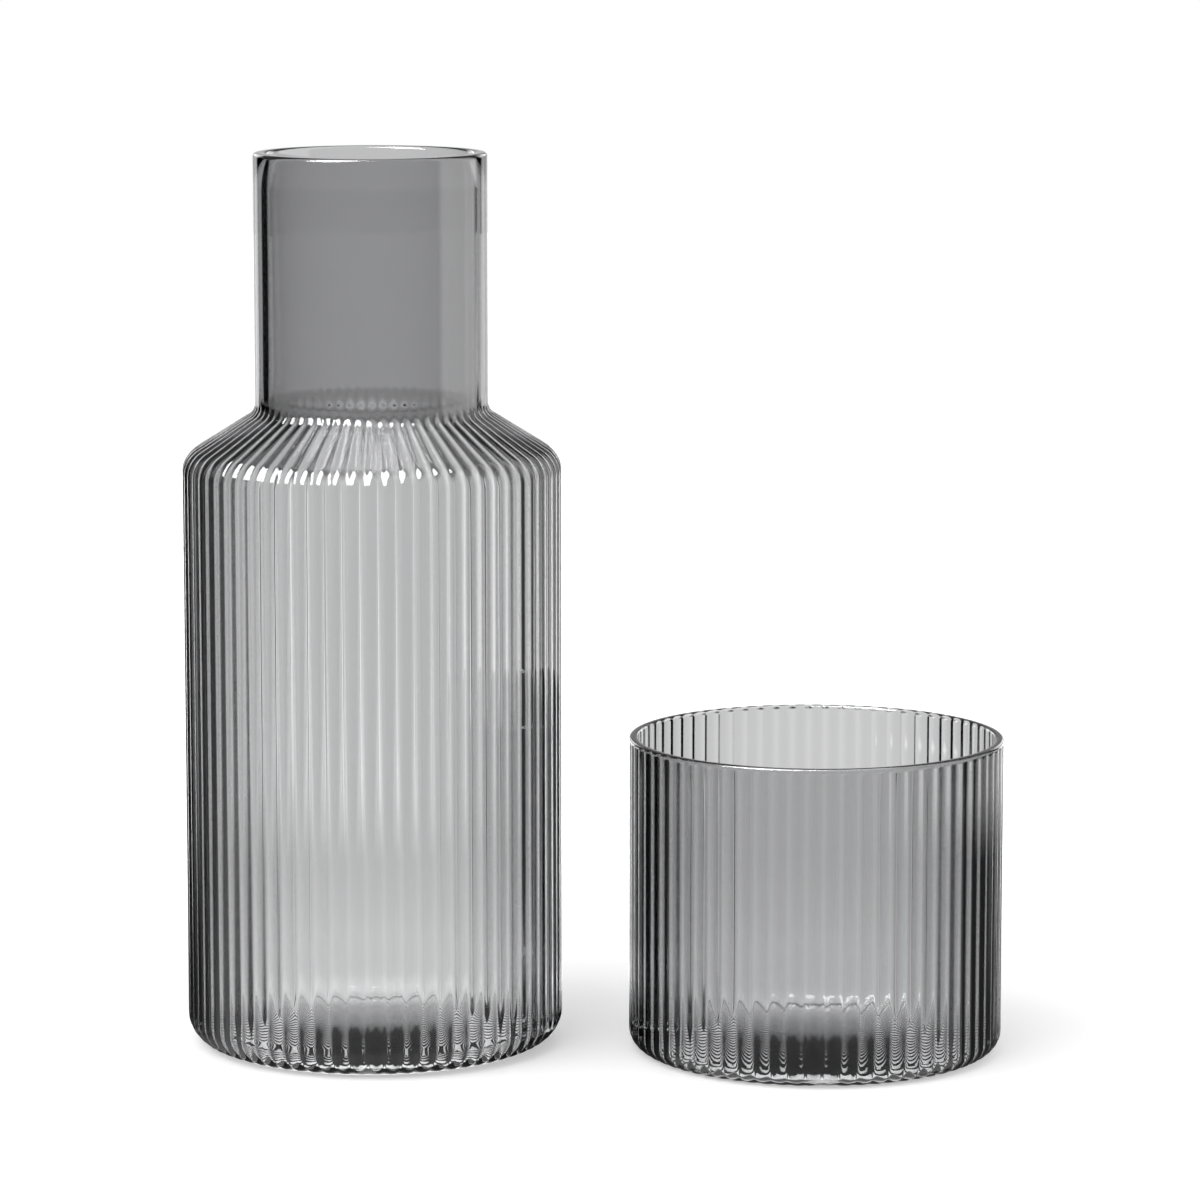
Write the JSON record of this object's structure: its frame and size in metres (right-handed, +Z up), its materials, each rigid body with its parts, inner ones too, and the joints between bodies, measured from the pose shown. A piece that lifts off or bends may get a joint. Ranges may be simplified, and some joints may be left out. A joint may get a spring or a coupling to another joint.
{
  "type": "bedside carafe with tumbler",
  "caption": "Ribbed smoke-grey glass water carafe with a smooth straight neck, and a matching ribbed tumbler that stands beside it and lifts off.",
  "frame": {"origin": "centre of the carafe's flat base, on the surface that it stands on", "axes": "+Z up along the carafe's axis, +X from the carafe towards the tumbler, -Y towards the viewer"},
  "size_m": [0.195, 0.0985, 0.2132],
  "materials": {
    "carafe_glass": "clear smoke-grey blown glass, fire polished, ribbed outside and smooth inside",
    "tumbler_glass": "clear smoke-grey blown glass, fire polished, ribbed outside and smooth inside"
  },
  "bodies": {
    "carafe": {"carafe": "carafe_glass"},
    "tumbler": {"tumbler": "tumbler_glass"}
  },
  "joints": [
    {"name": "tumbler_lift", "type": "slide", "parent": "carafe", "child": "tumbler", "axis": [0, 0, 1], "range_m": [0, 0.22]}
  ]
}
